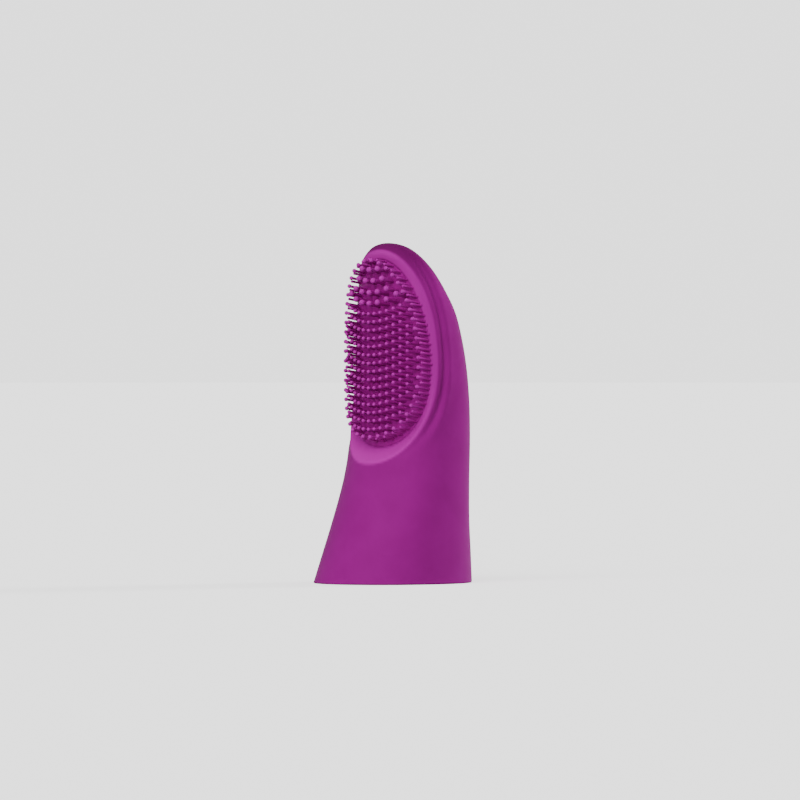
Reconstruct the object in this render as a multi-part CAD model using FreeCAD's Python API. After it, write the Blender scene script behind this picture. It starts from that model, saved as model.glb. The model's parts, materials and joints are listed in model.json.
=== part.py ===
"""Vibrating finger toothbrush: a silicone sleeve for one finger, a bristle pad and a sealed motor capsule.

Millimetres. +Z runs along the finger to the tip, the bristles face -Y, X goes across.
The origin is the middle of the oval mouth that the finger enters, on its lower face.
"""
import FreeCAD, Part
import math
import os

V = FreeCAD.Vector

# ---------------------------------------------------------------- driving dimensions
FINGER_AXIS_Y = 5.65       # the straight back part of the finger is centred here
TILT = 7.6                 # degrees that every bristle leans towards the tip

# outer shape: height, half width, half depth, forward shift from the finger axis, squareness in front
SLEEVE_STATIONS = (
    (0.0, 12.55, 14.5, 5.65, 2.0),
    (5.0, 12.1, 13.6, 4.80, 2.0),
    (10.6, 11.4, 11.8, 3.56, 2.0),
    (17.4, 10.8, 10.5, 2.16, 2.0),
    (24.2, 10.3, 9.9, 1.14, 2.1),
    (31.0, 10.1, 9.2, 0.60, 2.2),
    (37.6, 9.8, 8.5, 0.90, 2.2),
    (41.6, 9.45, 8.1, 1.40, 2.2),
    (45.6, 8.9, 7.4, 2.00, 2.2),
    (49.6, 7.9, 6.2, 3.20, 2.2),
    (53.1, 6.7, 4.8, 4.60, 2.1),
    (55.2, 5.4, 3.7, 5.60, 2.0),
    (56.8, 3.5, 2.3, 6.30, 2.0),
    (57.6, 1.2, 0.8, 6.70, 2.0),
)
MOUTH_ROUNDING = 0.3       # radius of the outer edge of the mouth

# finger pocket: height, half width, half depth, forward shift
POCKET_STATIONS = (
    (0.0, 10.4, 12.3, 5.65),
    (10.6, 9.3, 9.5, 3.5),
    (16.6, 8.0, 7.9, 2.1),
    (19.6, 6.2, 6.1, 0.9),
)

# bristle pad: the tips lie on a cylinder round the finger axis, the pad face on one of the same radius
ENVELOPE_RADIUS = 12.07
BRISTLE_LENGTH = 3.06
PAD_THICKNESS = 1.25
OVAL_CENTRE_Z = 36.6
UPPER_POWER = 2.0          # squareness of the oval, over and under its centre
LOWER_POWER = 2.2
RING_HALF_ARC = 9.15
RING_UPPER = 18.1
RING_LOWER = 11.8
PAD_MARGIN = 0.75          # pad edge outside the ring of long bristles
PAD_LOWER_MARGIN = 1.5
FIT_GAP = 0.02             # between pieces that are bonded or pressed together

FINE_RADIUS = 0.30
THICK_RADIUS = 0.50
RING_RADIUS = 0.32
FOOT_RADIUS = 0.26
FOOT_LENGTH = 2.4          # shorter bristles between those of the ring
RING_COUNT = 47
ROOT_DEPTH = 0.3
FINE_ROWS = 15
FINE_TOP_Z = 45.6
FINE_BOTTOM_Z = 26.1
FINE_SPACING = 1.22
FINE_RISE = 0.040          # rise of a curved row, per square millimetre of arc
RING_CLEARANCE = 0.95      # free arc between the rows and the ring
MOST_NUBS = 17             # places tried in a fine row
# thick rows at the tip: height of the middle, number of nubs
THICK_ROWS = ((53.1, 3), (51.2, 4), (49.2, 5), (47.4, 7))
THICK_SPACING = 1.75
THICK_RISE = 0.060
BEYOND = 60.0              # far enough for a cut to run right through

# capsule
CAPSULE_Y = FINGER_AXIS_Y - 0.6
CAPSULE_R = 6.2
CAPSULE_BORE = 5.2
CAPSULE_BOTTOM = 22.1
DOME_Z = 38.6
DOME_HEIGHT = 7.0
DOME_WALL = 1.0
LIP_R = 5.0                # hole in the web between the pocket and the capsule
CAP_TOP = 24.2
CAP_FLANGE = 0.8

# cell
CELL_R = 5.0
CELL_Z = 24.8
CELL_H = 5.4
TAB = 0.1
CHASSIS_Z = CELL_Z + CELL_H + TAB
CHASSIS_DISC = 0.5

# board and switch, distances behind the capsule axis
BOARD_Z = CHASSIS_Z + CHASSIS_DISC
BOARD_HEIGHT = 8.6
BOARD_HALF = 4.0
BOARD_FACE = 2.0
BOARD_THICK = 0.8
BOARD_BACK = BOARD_FACE + BOARD_THICK

# button
BUTTON_Z = 35.8
GUIDE_Z = 31.6             # light guide of the LED, under the button
GUIDE_R = 0.5
BUTTON_TRAVEL = 0.3
BUTTON_R = 2.9
BUTTON_OPENING = 3.2
STEM_R = 1.2
STEM_CLEARANCE = 0.05
SEAL_R = 2.2
SWITCH_DEPTH = 1.2
PLUNGER_R = 0.8

FLANGE_R = 1.8             # retaining flange of the button, inside the capsule
FLANGE_H = 0.35
FLANGE_BACK = 4.75
SWITCH_BACK = BOARD_BACK + SWITCH_DEPTH
SEAL_FLOOR = 5.4
SEAL_H = 0.7
CAP_UNDER = 6.75           # underside of the button cap
BUTTON_END = 8.8
CROWN_R = 9.0
GUIDE_END = 9.15

# end cap, charging contacts, and strips; distances from the capsule axis
GROOVE_R = 4.45
GROOVE_Z = 23.6
GROOVE_HALF = 0.38
SEAL_SECTION = 0.35
CHARGE_RING = 2.9
CHARGE_ANGLES = (30, 150)
CHARGE_PLACES = [(CHARGE_RING * math.cos(math.radians(a)), CHARGE_RING * math.sin(math.radians(a)))
                 for a in CHARGE_ANGLES]
CHARGE_PIN_R = 0.7
CHARGE_PROUD = 0.2
MAGNET_R = 1.2
MAGNET_H = 0.8
MAGNET_X = (-2.0, 2.0)
MAGNET_DY = -1.8
STRIP_R = 5.11
STRIP_THICK = 0.08
TAB_R = 5.12
TAB_TURN = -28             # degrees from the back of the capsule

LEAD_R = 0.18

# motor
MOTOR_Y = CAPSULE_Y - 1.3
MOTOR_Z = BOARD_Z + 0.2
MOTOR_R = 2.0
MOTOR_WALL = 0.2
END_CAP_H = 0.8
CAN_TOP = MOTOR_Z + 8.0
SHAFT_R = 0.3
SHAFT_CLEARANCE = 0.02
BUSH_R = 0.6
WEIGHT_R = 1.9
WEIGHT_Z = CAN_TOP + 0.6
WEIGHT_H = 3.2
HUB_R = 0.8
BOOT_R = 2.5
PLUG_TOP = 1.2             # top of the end cap's plug above the motor's lower face
COIL_Z = MOTOR_Z + 2.0
COIL_R = 1.6
MAGNET_RING_R = 1.25
COMMUTATOR_R = 0.5


# ---------------------------------------------------------------- helpers
def rod(radius, z0, z1, x=0.0, y=CAPSULE_Y):
    """Upright cylinder from z0 to z1."""
    return Part.makeCylinder(radius, z1 - z0, V(x, y, z0))


def tube(outer, inner, z0, z1, x=0.0, y=CAPSULE_Y):
    """Upright tube from z0 to z1."""
    return rod(outer, z0, z1, x, y).cut(rod(inner, z0 - 1, z1 + 1, x, y))


def pin(radius, y0, y1, x, z):
    """Level cylinder along +Y; y0 and y1 are distances behind the capsule axis."""
    return Part.makeCylinder(radius, y1 - y0, V(x, CAPSULE_Y + y0, z), V(0, 1, 0))


def block(x0, x1, y0, y1, z0, z1):
    """Box; y0 and y1 are distances behind the capsule axis."""
    return Part.makeBox(x1 - x0, y1 - y0, z1 - z0, V(x0, CAPSULE_Y + y0, z0))


def turned(shape, degrees):
    """Shape turned about the capsule's axis."""
    shape.rotate(V(0, CAPSULE_Y, 0), V(0, 0, 1), degrees)
    return shape


def superellipse_wire(z, half_width, half_depth, forward, front_power=2.0, steps=40):
    """Closed smooth wire at height z; the front half may be squarer than an ellipse."""
    points = []
    for i in range(steps):
        angle = 2 * math.pi * i / steps
        c = math.cos(angle)
        s = math.sin(angle)
        power = 2.0 / (front_power if s < 0 else 2.0)
        x = half_width * math.copysign(abs(c) ** power, c)
        y = half_depth * math.copysign(abs(s) ** power, s)
        points.append(V(x, FINGER_AXIS_Y - forward + y, z))
    curve = Part.BSplineCurve()
    curve.interpolate(Points=points, PeriodicFlag=True)
    return Part.Wire([curve.toShape()])


def loft(stations):
    """Closed solid through the stations."""
    return Part.makeLoft([superellipse_wire(*station) for station in stations], True, False)


def single(shape):
    """The one solid of a boolean result."""
    solids = shape.Solids
    if len(solids) != 1:
        raise RuntimeError("expected one solid, got %d" % len(solids))
    return solids[0]


# ---------------------------------------------------------------- bristle pad
def on_envelope(arc, z):
    """Point of the tip envelope at this arc length from the middle line."""
    angle = arc / ENVELOPE_RADIUS
    return V(ENVELOPE_RADIUS * math.sin(angle), FINGER_AXIS_Y - ENVELOPE_RADIUS * math.cos(angle), z)


def oval_point(turn, margin=0.0, lower_margin=0.0):
    """Arc and height of a point of the oval, turn going round from 0 to 1."""
    angle = 2 * math.pi * turn
    c = math.cos(angle)
    s = math.sin(angle)
    tall = RING_UPPER + margin if s > 0 else RING_LOWER + lower_margin
    share = 2 / (UPPER_POWER if s > 0 else LOWER_POWER)
    arc = (RING_HALF_ARC + margin) * math.copysign(abs(c) ** share, c)
    return arc, OVAL_CENTRE_Z + tall * math.copysign(abs(s) ** share, s)


def oval_prism(margin, lower_margin, steps=48):
    """Prism along Y over the oval, wider than the ring of long bristles by the margins."""
    points = []
    for i in range(steps):
        arc, z = oval_point(i / steps, margin, lower_margin)
        points.append(V(ENVELOPE_RADIUS * math.sin(arc / ENVELOPE_RADIUS), -BEYOND, z))
    curve = Part.BSplineCurve()
    curve.interpolate(Points=points, PeriodicFlag=True)
    return Part.Face(Part.Wire([curve.toShape()])).extrude(V(0, BEYOND + FINGER_AXIS_Y, 0))


def floor_cylinder(inset):
    """Upright cylinder whose front is the pad face, moved in by inset."""
    return rod(ENVELOPE_RADIUS - inset, 0, 2 * OVAL_CENTRE_Z, 0, FINGER_AXIS_Y + BRISTLE_LENGTH)


def bristle(radius, length):
    """One round-tipped bristle with its root at the origin, leaning towards the tip of the brush."""
    straight = length - radius
    mid = radius * math.sqrt(0.5)
    edges = [
        Part.LineSegment(V(0, 0, -ROOT_DEPTH), V(radius, 0, -ROOT_DEPTH)).toShape(),
        Part.LineSegment(V(radius, 0, -ROOT_DEPTH), V(radius, 0, straight)).toShape(),
        Part.Arc(V(radius, 0, straight), V(mid, 0, straight + mid), V(0, 0, length)).toShape(),
        Part.LineSegment(V(0, 0, length), V(0, 0, -ROOT_DEPTH)).toShape(),
    ]
    solid = Part.Face(Part.Wire(edges)).revolve(V(0, 0, 0), V(0, 0, 1), 360)
    solid.rotate(V(0, 0, 0), V(1, 0, 0), 90 - TILT)
    return solid


LEAN = V(0, -math.cos(math.radians(TILT)), math.sin(math.radians(TILT)))


def planted(pattern, arc, z):
    """Copy of a bristle that would end at this point of the envelope if it had full length."""
    copy = pattern.copy()
    copy.translate(on_envelope(arc, z) - LEAN * BRISTLE_LENGTH)
    return copy


def ring_places(count, margin, phase):
    """Evenly spaced places round the oval."""
    fine = [oval_point(i / 720, margin, margin) for i in range(721)]
    run = [0.0]
    for a, b in zip(fine, fine[1:]):
        run.append(run[-1] + math.hypot(b[0] - a[0], b[1] - a[1]))
    places = []
    k = 0
    for i in range(count):
        want = run[-1] * (i + phase) / count
        while run[k + 1] < want:
            k += 1
        t = (want - run[k]) / (run[k + 1] - run[k])
        places.append(tuple(p + t * (q - p) for p, q in zip(fine[k], fine[k + 1])))
    return places


def inside_ring(arc, z):
    """True where a nub stays clear of the ring of long bristles."""
    tall = RING_UPPER if z > OVAL_CENTRE_Z else RING_LOWER
    power = UPPER_POWER if z > OVAL_CENTRE_Z else LOWER_POWER
    size = abs(arc / (RING_HALF_ARC - RING_CLEARANCE)) ** power
    size += abs((z - OVAL_CENTRE_Z) / (tall - RING_CLEARANCE)) ** power
    return size < 1.0


def row_places(middle_z, spacing, rise, count):
    """Places of one curved row of count nubs."""
    arcs = [(i - (count - 1) / 2) * spacing for i in range(count)]
    return [(arc, middle_z + rise * arc * arc) for arc in arcs]


def make_bristle_pad():
    """Curved oval pad with every bristle fused to it."""
    plate = floor_cylinder(0).cut(floor_cylinder(PAD_THICKNESS))
    plate = plate.common(oval_prism(PAD_MARGIN - FIT_GAP, PAD_LOWER_MARGIN - FIT_GAP))
    plate = [s for s in plate.Solids if s.CenterOfMass.y < FINGER_AXIS_Y][0]
    fine = bristle(FINE_RADIUS, BRISTLE_LENGTH)
    thick = bristle(THICK_RADIUS, BRISTLE_LENGTH)
    ring = bristle(RING_RADIUS, BRISTLE_LENGTH)
    foot = bristle(FOOT_RADIUS, FOOT_LENGTH)
    grown = [planted(ring, *place) for place in ring_places(RING_COUNT, 0.0, 0.0)]
    grown += [planted(foot, *place) for place in ring_places(RING_COUNT, 0.25, 0.5)]
    for z, count in THICK_ROWS:
        grown += [planted(thick, *place) for place in row_places(z, THICK_SPACING, THICK_RISE, count)]
    for i in range(FINE_ROWS):
        z = FINE_TOP_Z + (FINE_BOTTOM_Z - FINE_TOP_Z) * i / (FINE_ROWS - 1)
        places = row_places(z, FINE_SPACING, FINE_RISE, MOST_NUBS)
        grown += [planted(fine, *place) for place in places if inside_ring(*place)]
    return single(plate.multiFuse(grown))


# ---------------------------------------------------------------- sleeve
def make_finger_sleeve():
    """Silicone sleeve: outer skin less the finger pocket, the capsule seat, the pad seat and two holes."""
    body = loft(SLEEVE_STATIONS)
    body = body.makeFillet(MOUTH_ROUNDING, [e for e in body.Edges if e.BoundBox.ZMax < 0.01])
    pocket = loft(POCKET_STATIONS)
    body = body.cut(pocket)
    body = body.cut(rod(LIP_R, POCKET_STATIONS[-1][0] - 1, CAPSULE_BOTTOM + 1))
    body = body.cut(capsule_outline(FIT_GAP))
    body = body.cut(oval_prism(PAD_MARGIN, PAD_LOWER_MARGIN).cut(floor_cylinder(PAD_THICKNESS + FIT_GAP)))
    body = body.cut(pin(BUTTON_OPENING, CAPSULE_R - 2, BEYOND, 0, BUTTON_Z))
    body = body.cut(pin(GUIDE_R + FIT_GAP, CAPSULE_R - 2, BEYOND, 0, GUIDE_Z))
    return max(body.Solids, key=lambda s: s.Volume)


# ---------------------------------------------------------------- capsule
def domed(radius, bottom, height):
    """Round-topped cylinder with a smooth quarter-ellipse dome."""
    axis = V(0, CAPSULE_Y, 0)
    start = axis + V(radius, 0, DOME_Z)
    top = axis + V(0, 0, DOME_Z + height)
    if height > radius:
        ellipse = Part.Ellipse(top, start, axis + V(0, 0, DOME_Z))
    else:
        ellipse = Part.Ellipse(start, top, axis + V(0, 0, DOME_Z))
    low = ellipse.parameter(start)
    high = ellipse.parameter(top)
    arc = Part.ArcOfEllipse(ellipse, min(low, high), max(low, high))
    if max(low, high) - min(low, high) > math.pi:
        arc = Part.ArcOfEllipse(ellipse, max(low, high), min(low, high) + 2 * math.pi)
    edges = [
        arc.toShape(),
        Part.LineSegment(top, axis + V(0, 0, bottom)).toShape(),
        Part.LineSegment(axis + V(0, 0, bottom), axis + V(radius, 0, bottom)).toShape(),
        Part.LineSegment(axis + V(radius, 0, bottom), start).toShape(),
    ]
    wire = Part.Wire(Part.__sortEdges__(edges))
    return Part.Face(wire).revolve(axis, V(0, 0, 1), 360)


def capsule_outline(gap):
    """Space that the capsule fills in the sleeve."""
    return domed(CAPSULE_R + gap, CAPSULE_BOTTOM - gap, DOME_HEIGHT + gap)


def make_capsule_shell():
    """Hard tube with a domed top, a port for the button stem and one for the light guide."""
    shell = domed(CAPSULE_R, CAPSULE_BOTTOM + CAP_FLANGE, DOME_HEIGHT)
    shell = shell.cut(domed(CAPSULE_BORE, CAPSULE_BOTTOM, DOME_HEIGHT - DOME_WALL))
    shell = shell.cut(pin(FLANGE_R + 0.3, FLANGE_BACK - 1, FLANGE_BACK + BUTTON_TRAVEL + 0.1, 0, BUTTON_Z))
    shell = shell.cut(pin(STEM_R + STEM_CLEARANCE, 4, 8, 0, BUTTON_Z))
    shell = shell.cut(pin(SEAL_R, SEAL_FLOOR, 8, 0, BUTTON_Z))
    return single(shell.cut(pin(GUIDE_R, 4, 8, 0, GUIDE_Z)))


def make_capsule_cap():
    """Lower end cap with a plug, a groove for the O-ring, and seats for the pins and magnets."""
    cap = rod(CAPSULE_R, CAPSULE_BOTTOM, CAPSULE_BOTTOM + CAP_FLANGE)
    cap = cap.fuse(rod(CAPSULE_BORE - FIT_GAP, CAPSULE_BOTTOM + CAP_FLANGE, CAP_TOP))
    cap = cap.cut(tube(CAPSULE_R, GROOVE_R, GROOVE_Z - GROOVE_HALF, GROOVE_Z + GROOVE_HALF))
    for x, y in CHARGE_PLACES:
        cap = cap.cut(rod(CHARGE_PIN_R, CAPSULE_BOTTOM - 1, CAP_TOP + 1, x, CAPSULE_Y + y))
    for x in MAGNET_X:
        cap = cap.cut(rod(MAGNET_R, CAP_TOP - MAGNET_H, CAP_TOP + 1, x, CAPSULE_Y + MAGNET_DY))
    return single(cap.removeSplitter())


def make_cap_seal():
    """O-ring in the groove of the cap."""
    return Part.makeTorus(GROOVE_R + SEAL_SECTION, SEAL_SECTION, V(0, CAPSULE_Y, GROOVE_Z))


def make_charge_pins():
    """Two contact pins through the cap."""
    pins = []
    for x, y in CHARGE_PLACES:
        pins.append(rod(CHARGE_PIN_R, CAPSULE_BOTTOM - CHARGE_PROUD, CAP_TOP, x, CAPSULE_Y + y))
    return Part.makeCompound(pins)


def make_charge_magnets():
    """Two disc magnets sunk in the cap."""
    discs = [rod(MAGNET_R, CAP_TOP - MAGNET_H, CAP_TOP, x, CAPSULE_Y + MAGNET_DY) for x in MAGNET_X]
    return Part.makeCompound(discs)


def make_charge_strips():
    """Two flat strips from the pins, up past the cell, to the board's edges."""
    strips = []
    for angle in CHARGE_ANGLES:
        foot = block(-0.6, 0.6, CHARGE_RING - 0.5, STRIP_R, CAP_TOP, CAP_TOP + TAB)
        leg = block(-0.6, 0.6, STRIP_R - STRIP_THICK, STRIP_R, CAP_TOP, BOARD_Z + 1.2)
        strips.append(single(turned(foot.fuse(leg).removeSplitter(), angle - 90)))
    return Part.makeCompound(strips)


def make_cell_pad():
    """Foam disc under the cell."""
    return rod(CELL_R - 0.1, CAP_TOP + TAB, CELL_Z - TAB)


def make_battery_cell():
    """Small rechargeable drum cell with a rolled top edge."""
    cell = rod(CELL_R, CELL_Z, CELL_Z + CELL_H)
    top = [e for e in cell.Edges if e.BoundBox.ZMin > CELL_Z + CELL_H - 0.01]
    return single(cell.makeFillet(0.4, top))


def make_cell_tab_lower():
    """Strip under the cell that turns up behind it and in to the back of the board."""
    flat = block(-0.6, 0.6, 1.0, TAB_R, CELL_Z - TAB, CELL_Z)
    leg = block(-0.6, 0.6, TAB_R - STRIP_THICK, TAB_R, CELL_Z - TAB, BOARD_Z + 0.5)
    reach = block(-0.6, 0.6, BOARD_BACK + 0.7, TAB_R, BOARD_Z + 0.4, BOARD_Z + 0.5)
    return single(turned(flat.fuse([leg, reach]).removeSplitter(), TAB_TURN))


def make_cell_tab_upper():
    """Strip on top of the cell that turns up to the front of the board."""
    flat = block(-0.7, 0.7, -1.5, BOARD_FACE, CELL_Z + CELL_H, CHASSIS_Z)
    leg = block(-0.7, 0.7, BOARD_FACE - TAB, BOARD_FACE, CELL_Z + CELL_H, BOARD_Z + 0.8)
    return single(flat.fuse(leg).removeSplitter())


def make_chassis():
    """Disc over the cell with a cradle for the motor and two posts beside the board."""
    disc = rod(CAPSULE_BORE - 0.1, CHASSIS_Z, BOARD_Z)
    cradle = block(-3.4, 3.4, -3.6, BOARD_FACE - 0.2, BOARD_Z, BOARD_Z + 5.4)
    cradle = cradle.cut(rod(BOOT_R + FIT_GAP, BOARD_Z - 1, BEYOND, 0, MOTOR_Y))
    cradle = cradle.cut(block(-1.6, 1.6, -0.5, 4, BOARD_Z - 1, BEYOND))
    cradle = cradle.cut(block(-1.2, 1.2, -5, -2, BOARD_Z - 1, BEYOND))
    body = disc.fuse(cradle.common(rod(CAPSULE_BORE - 0.1, CHASSIS_Z, BEYOND)))
    body = body.cut(block(-0.8, 0.8, BOARD_FACE - 2 * TAB, BOARD_FACE, CHASSIS_Z - 1, BEYOND))
    for angle in (TAB_TURN, CHARGE_ANGLES[0] - 90, CHARGE_ANGLES[1] - 90):
        notch = block(-0.7, 0.7, STRIP_R - 2 * STRIP_THICK, CAPSULE_BORE, CHASSIS_Z - 1, BEYOND)
        body = body.cut(turned(notch, angle))
    return single(body.removeSplitter())


def make_circuit_board():
    """Upright board behind the motor, its upper corners cut to the dome."""
    board = block(-BOARD_HALF, BOARD_HALF, BOARD_FACE, BOARD_BACK, BOARD_Z, BOARD_Z + BOARD_HEIGHT)
    corners = [e for e in board.Edges if abs(e.BoundBox.YLength - BOARD_THICK) < 1e-4
               and e.BoundBox.ZMin > BOARD_Z + 1]
    board = board.makeChamfer(0.8, corners)
    return single(board.common(rod(CAPSULE_BORE - 0.05, BOARD_Z, BEYOND)))


def make_control_chip():
    """Controller on the back of the board, above the switch."""
    return block(-1.0, 1.0, BOARD_BACK, BOARD_BACK + 0.6, BUTTON_Z + 1.8, BUTTON_Z + 3.4)


def make_board_capacitors():
    """Four chip parts beside the switch."""
    parts = []
    for x in (-3.0, 2.4):
        for z in (BUTTON_Z - 1.6, BUTTON_Z + 0.6):
            parts.append(block(x, x + 0.6, BOARD_BACK, BOARD_BACK + 0.5, z, z + 1.1))
    return Part.makeCompound(parts)


def make_status_led():
    """Chip LED in front of the light guide."""
    return block(-0.5, 0.5, BOARD_BACK, BOARD_BACK + 0.5, GUIDE_Z - 0.5, GUIDE_Z + 0.5)


def make_light_guide():
    """Clear pin through the capsule wall and the sleeve, with a rounded end."""
    guide = pin(GUIDE_R, BOARD_BACK + 0.6, GUIDE_END, 0, GUIDE_Z)
    outer = [e for e in guide.Edges if e.BoundBox.YMin > CAPSULE_Y + GUIDE_END - 0.01]
    return single(guide.makeFillet(0.3, outer))


def make_motor_leads():
    """Two short leads from the motor's end cap to the front of the board."""
    z = MOTOR_Z + 0.3
    leads = []
    for x in (-1.0, 1.0):
        start = MOTOR_Y - CAPSULE_Y + math.sqrt(MOTOR_R ** 2 - (abs(x) - LEAD_R) ** 2)
        leads.append(pin(LEAD_R, start, BOARD_FACE, x, z))
    return Part.makeCompound(leads)


# ---------------------------------------------------------------- switch and button
def make_switch_base():
    """Square switch body with a round well for its plunger."""
    base = block(-1.5, 1.5, BOARD_BACK, SWITCH_BACK, BUTTON_Z - 1.5, BUTTON_Z + 1.5)
    return single(base.cut(pin(PLUNGER_R + STEM_CLEARANCE, BOARD_BACK + 0.3, 8, 0, BUTTON_Z)))


def make_switch_plunger():
    """Plunger that the button stem presses."""
    return pin(PLUNGER_R, BOARD_BACK + 0.3 + BUTTON_TRAVEL + 0.1, FLANGE_BACK - FLANGE_H, 0, BUTTON_Z)


def make_power_button():
    """Flange inside the capsule, stem through the port, and a domed cap in the back of the sleeve."""
    flange = pin(FLANGE_R, FLANGE_BACK - FLANGE_H, FLANGE_BACK, 0, BUTTON_Z)
    stem = pin(STEM_R, FLANGE_BACK - FLANGE_H, CAP_UNDER + 0.5, 0, BUTTON_Z)
    cap = pin(BUTTON_R, CAP_UNDER, BUTTON_END, 0, BUTTON_Z)
    crown = Part.makeSphere(CROWN_R, V(0, CAPSULE_Y + BUTTON_END - CROWN_R, BUTTON_Z))
    cap = cap.common(crown)
    return single(cap.fuse([stem, flange]).removeSplitter())


def make_button_seal():
    """Soft ring in the counterbore of the port, round the button stem."""
    ring = pin(SEAL_R - FIT_GAP, SEAL_FLOOR, SEAL_FLOOR + SEAL_H, 0, BUTTON_Z)
    return single(ring.cut(pin(STEM_R + STEM_CLEARANCE, 4, 8, 0, BUTTON_Z)))


# ---------------------------------------------------------------- motor
def motor_rod(radius, z0, z1):
    """Upright cylinder on the motor's axis."""
    return rod(radius, z0, z1, 0, MOTOR_Y)


def motor_tube(outer, inner, z0, z1):
    """Upright tube on the motor's axis."""
    return tube(outer, inner, z0, z1, 0, MOTOR_Y)


def make_motor_can():
    """Thin steel can with a hole for the bush in its closed top."""
    can = motor_rod(MOTOR_R, MOTOR_Z + END_CAP_H, CAN_TOP)
    can = can.cut(motor_rod(MOTOR_R - MOTOR_WALL, MOTOR_Z, CAN_TOP - 0.3))
    return single(can.cut(motor_rod(BUSH_R, MOTOR_Z, CAN_TOP + 1)))


def make_motor_end_cap():
    """Plastic end cap: a flange and a short plug in the can."""
    cap = motor_rod(MOTOR_R, MOTOR_Z, MOTOR_Z + END_CAP_H)
    plug = motor_rod(MOTOR_R - MOTOR_WALL - FIT_GAP, MOTOR_Z + END_CAP_H, MOTOR_Z + PLUG_TOP)
    return single(cap.fuse(plug).removeSplitter())


def make_motor_brushes():
    """Two brush fingers that stand on the end cap beside the commutator."""
    fingers = []
    for side in (-1, 1):
        x = side * (COMMUTATOR_R + SHAFT_CLEARANCE + 0.1)
        z0 = MOTOR_Z + PLUG_TOP
        fingers.append(Part.makeBox(0.2, 0.7, 0.7, V(x - 0.1, MOTOR_Y - 0.35, z0)))
    return Part.makeCompound(fingers)


def make_motor_bushing():
    """Sintered tube in the top of the can that carries the shaft and the magnet."""
    return single(motor_tube(BUSH_R, SHAFT_R + SHAFT_CLEARANCE, COIL_Z + 0.8, CAN_TOP + 0.2))


def make_motor_magnet():
    """Ring magnet on the bush."""
    return single(motor_tube(MAGNET_RING_R, BUSH_R, COIL_Z + 0.8, CAN_TOP - 0.6))


def make_rotor_coil():
    """Cup-shaped coil that turns between the magnet and the can."""
    cup = motor_tube(COIL_R, COIL_R - 0.22, COIL_Z, CAN_TOP - 0.7)
    return single(cup.fuse(motor_tube(COIL_R, SHAFT_R, COIL_Z, COIL_Z + 0.4)).removeSplitter())


def make_commutator():
    """Small drum under the coil that the brushes feed."""
    return single(motor_tube(COMMUTATOR_R, SHAFT_R, COIL_Z - 0.6, COIL_Z))


def make_motor_shaft():
    """Shaft through the coil and the bush to the weight."""
    return motor_rod(SHAFT_R, COIL_Z - 0.6, WEIGHT_Z + WEIGHT_H + 0.2)


def make_eccentric_weight():
    """Half disc with a hub, pressed on the shaft; its mass lies to one side of the shaft."""
    half = motor_rod(WEIGHT_R, WEIGHT_Z, WEIGHT_Z + WEIGHT_H)
    half = half.cut(Part.makeBox(10, 10, 10, V(-5, MOTOR_Y, WEIGHT_Z - 1)))
    body = half.fuse(motor_rod(HUB_R, WEIGHT_Z, WEIGHT_Z + WEIGHT_H))
    return single(body.cut(motor_rod(SHAFT_R, WEIGHT_Z - 1, WEIGHT_Z + WEIGHT_H + 1)).removeSplitter())


def make_motor_boot():
    """Rubber sleeve round the motor in its cradle."""
    return single(motor_tube(BOOT_R, MOTOR_R, MOTOR_Z + END_CAP_H + 0.3, CAN_TOP - 1.0))


PIECES = {
    "finger_sleeve": make_finger_sleeve,
    "bristle_pad": make_bristle_pad,
    "capsule_shell": make_capsule_shell,
    "capsule_cap": make_capsule_cap,
    "cap_seal": make_cap_seal,
    "charge_pins": make_charge_pins,
    "charge_magnets": make_charge_magnets,
    "charge_strips": make_charge_strips,
    "cell_pad": make_cell_pad,
    "battery_cell": make_battery_cell,
    "cell_tab_lower": make_cell_tab_lower,
    "cell_tab_upper": make_cell_tab_upper,
    "chassis": make_chassis,
    "circuit_board": make_circuit_board,
    "control_chip": make_control_chip,
    "board_capacitors": make_board_capacitors,
    "status_led": make_status_led,
    "light_guide": make_light_guide,
    "motor_leads": make_motor_leads,
    "switch_base": make_switch_base,
    "switch_plunger": make_switch_plunger,
    "power_button": make_power_button,
    "button_seal": make_button_seal,
    "motor_can": make_motor_can,
    "motor_end_cap": make_motor_end_cap,
    "motor_brushes": make_motor_brushes,
    "motor_bushing": make_motor_bushing,
    "motor_magnet": make_motor_magnet,
    "motor_boot": make_motor_boot,
    "rotor_coil": make_rotor_coil,
    "commutator": make_commutator,
    "motor_shaft": make_motor_shaft,
    "eccentric_weight": make_eccentric_weight,
}


def main():
    """Write one STEP file for each piece."""
    os.makedirs("parts", exist_ok=True)
    for name, make in PIECES.items():
        shape = make()
        shape.exportStep("parts/%s.step" % name)
        print("%-18s %2d solid(s) %9.3f mm3" % (name, len(shape.Solids), shape.Volume))


main()
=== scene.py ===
"""Looks of the vibrating finger toothbrush: silicone sleeve, bristle pad, button and the capsule inside."""
import json
import logging
import math
import random
from dataclasses import dataclass, field
from enum import Enum
from typing import Any, Optional, Sequence

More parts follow.
